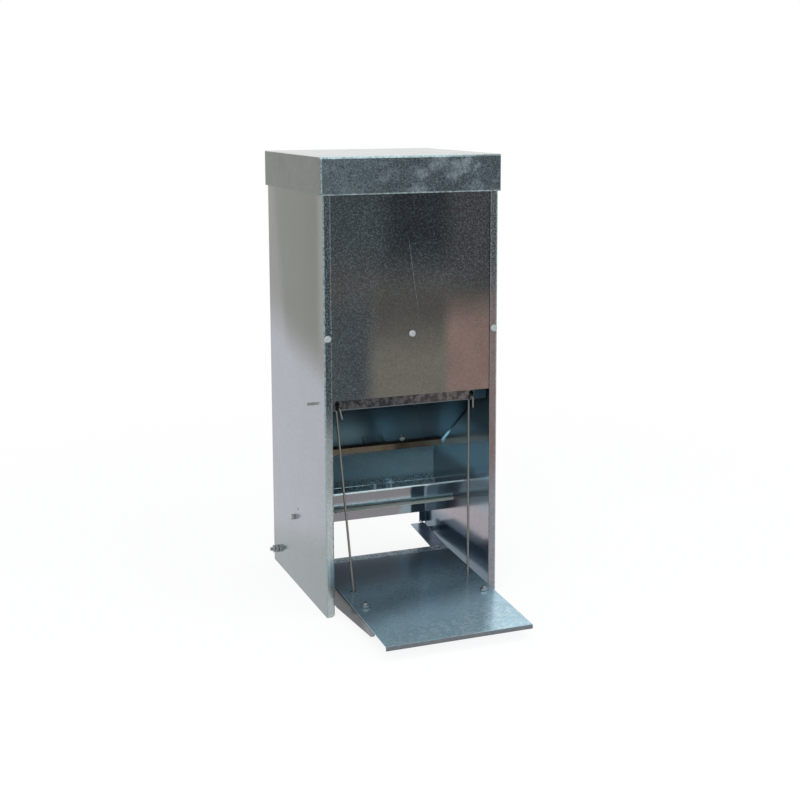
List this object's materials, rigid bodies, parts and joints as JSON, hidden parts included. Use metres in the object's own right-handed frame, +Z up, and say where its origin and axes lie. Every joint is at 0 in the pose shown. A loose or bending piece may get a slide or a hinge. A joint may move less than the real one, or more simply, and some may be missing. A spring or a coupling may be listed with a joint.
{
  "type": "treadle livestock feeder",
  "caption": "Upright galvanised sheet hopper feeder with a lift-off lid, a trough closed by a flap, and a treadle that opens the flap through two wire rods.",
  "frame": {"origin": "middle of the bounding box at the floor", "axes": "+Z up, the treadle and the trough's opening face -Y, X across"},
  "size_m": [0.275, 0.4277, 0.62],
  "materials": {
    "side_sheet": "galvanised sheet, satin with fine spangle",
    "front_sheet": "galvanised sheet, darker spangle",
    "back_sheet": "galvanised sheet",
    "hopper_floor_sheet": "galvanised sheet",
    "trough_sheet": "galvanised sheet, reflective",
    "lid_sheet": "galvanised sheet, mottled pale",
    "flap_sheet": "galvanised sheet, reflective",
    "treadle_sheet": "galvanised sheet, reflective, speckled",
    "arm_sheet": "galvanised sheet",
    "wire": "dull drawn wire",
    "fastener": "bright zinc plate",
    "bar_steel": "raw bar steel"
  },
  "bodies": {
    "housing": {"side_panel_left": "side_sheet", "side_panel_right": "side_sheet", "front_panel": "front_sheet", "back_panel": "back_sheet", "feed_chute": "hopper_floor_sheet", "trough": "trough_sheet", "panel_screw_left": "fastener", "panel_screw_centre": "fastener", "panel_screw_right": "fastener", "panel_nut_left": "fastener", "panel_nut_centre": "fastener", "panel_nut_right": "fastener", "back_rivet_left_lower": "fastener", "back_rivet_left_upper": "fastener", "back_rivet_right_lower": "fastener", "back_rivet_right_upper": "fastener", "trough_rivet_left": "fastener", "trough_rivet_right": "fastener", "flap_pivot_rod": "wire", "tie_rod": "wire", "tie_rod_nut_left": "fastener", "tie_rod_nut_right": "fastener", "trough_stud": "fastener", "trough_bolt": "fastener", "treadle_bolt_left": "fastener", "treadle_bolt_right": "fastener", "treadle_spacer_left": "fastener", "treadle_spacer_right": "fastener", "treadle_nut_left": "fastener", "treadle_nut_right": "fastener", "treadle_lock_nut_left": "fastener", "treadle_lock_nut_right": "fastener"},
    "lid": {"lid": "lid_sheet"},
    "flap": {"flap": "flap_sheet", "counterweight": "bar_steel", "counterweight_screw": "fastener", "counterweight_nut": "fastener"},
    "treadle": {"treadle_plate": "treadle_sheet", "lever_arm_left": "arm_sheet", "lever_arm_right": "arm_sheet", "arm_bolt_left": "fastener", "arm_bolt_right": "fastener", "arm_nut_left": "fastener", "arm_nut_right": "fastener"},
    "rod_left": {"pull_rod_left": "wire"},
    "rod_right": {"pull_rod_right": "wire"}
  },
  "joints": [
    {"name": "treadle_hinge", "type": "hinge", "parent": "housing", "child": "treadle", "pos_m": [0, 0.18794, 0.0235], "axis": [-1, 0, 0], "range_deg": [0, 2.78]},
    {"name": "flap_hinge", "type": "hinge", "parent": "housing", "child": "flap", "pos_m": [0, 0.00394, 0.285], "axis": [-1, 0, 0], "range_deg": [0, 25.5]},
    {"name": "rod_left_hinge", "type": "hinge", "parent": "treadle", "child": "rod_left", "pos_m": [-0.0835, -0.0391, 0.0283], "axis": [-1, 0, 0], "range_deg": [-2.3, 0]},
    {"name": "rod_right_hinge", "type": "hinge", "parent": "treadle", "child": "rod_right", "pos_m": [0.0868, -0.0391, 0.0283], "axis": [-1, 0, 0], "range_deg": [-2.3, 0]},
    {"name": "lid_lift", "type": "slide", "parent": "housing", "child": "lid", "axis": [0, 0, 1], "range_m": [0, 0.15]}
  ],
  "couplings": [
    {"joint": "flap_hinge", "follows": "treadle_hinge", "ratio": 9.16},
    {"joint": "rod_left_hinge", "follows": "treadle_hinge", "ratio": -0.8},
    {"joint": "rod_right_hinge", "follows": "treadle_hinge", "ratio": -0.8}
  ]
}
